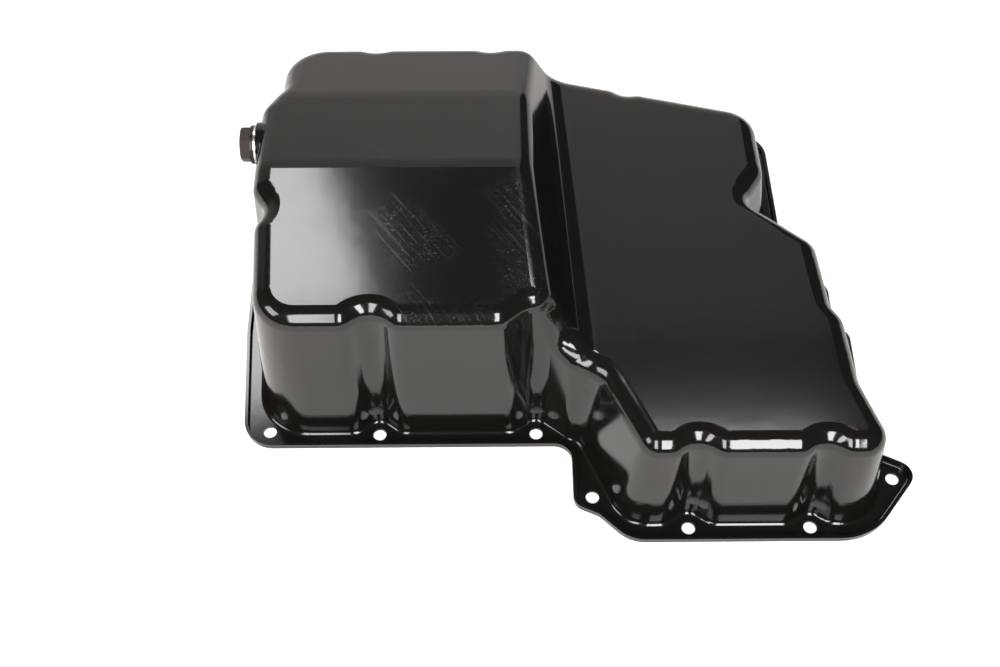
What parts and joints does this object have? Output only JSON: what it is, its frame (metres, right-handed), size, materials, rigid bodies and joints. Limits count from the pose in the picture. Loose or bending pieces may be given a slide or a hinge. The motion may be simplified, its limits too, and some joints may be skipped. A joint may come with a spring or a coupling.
{
  "type": "engine oil pan",
  "caption": "Deep-drawn sheet steel oil pan with a deep sump and a raised shallow end, fluted walls, a turned-up bolt rim and a hexagon drain plug with its sealing washer.",
  "frame": {"origin": "middle of the bounding box in plan, on the sealing face at the rim's underside", "axes": "+X from the drain plug's wall to the shallow end, +Y from the nose to the long back edge, +Z from the sealing face to the sump floor"},
  "size_m": [0.3549, 0.303, 0.096],
  "materials": {
    "painted_steel": "gloss black paint over sheet steel",
    "bush_steel": "black paint over turned steel",
    "plug_steel": "dull passivated steel",
    "washer_aluminium": "bright turned ring"
  },
  "bodies": {
    "root": {"pan_shell": "painted_steel", "drain_bush": "bush_steel", "drain_plug": "plug_steel", "sealing_washer": "washer_aluminium"}
  },
  "joints": []
}
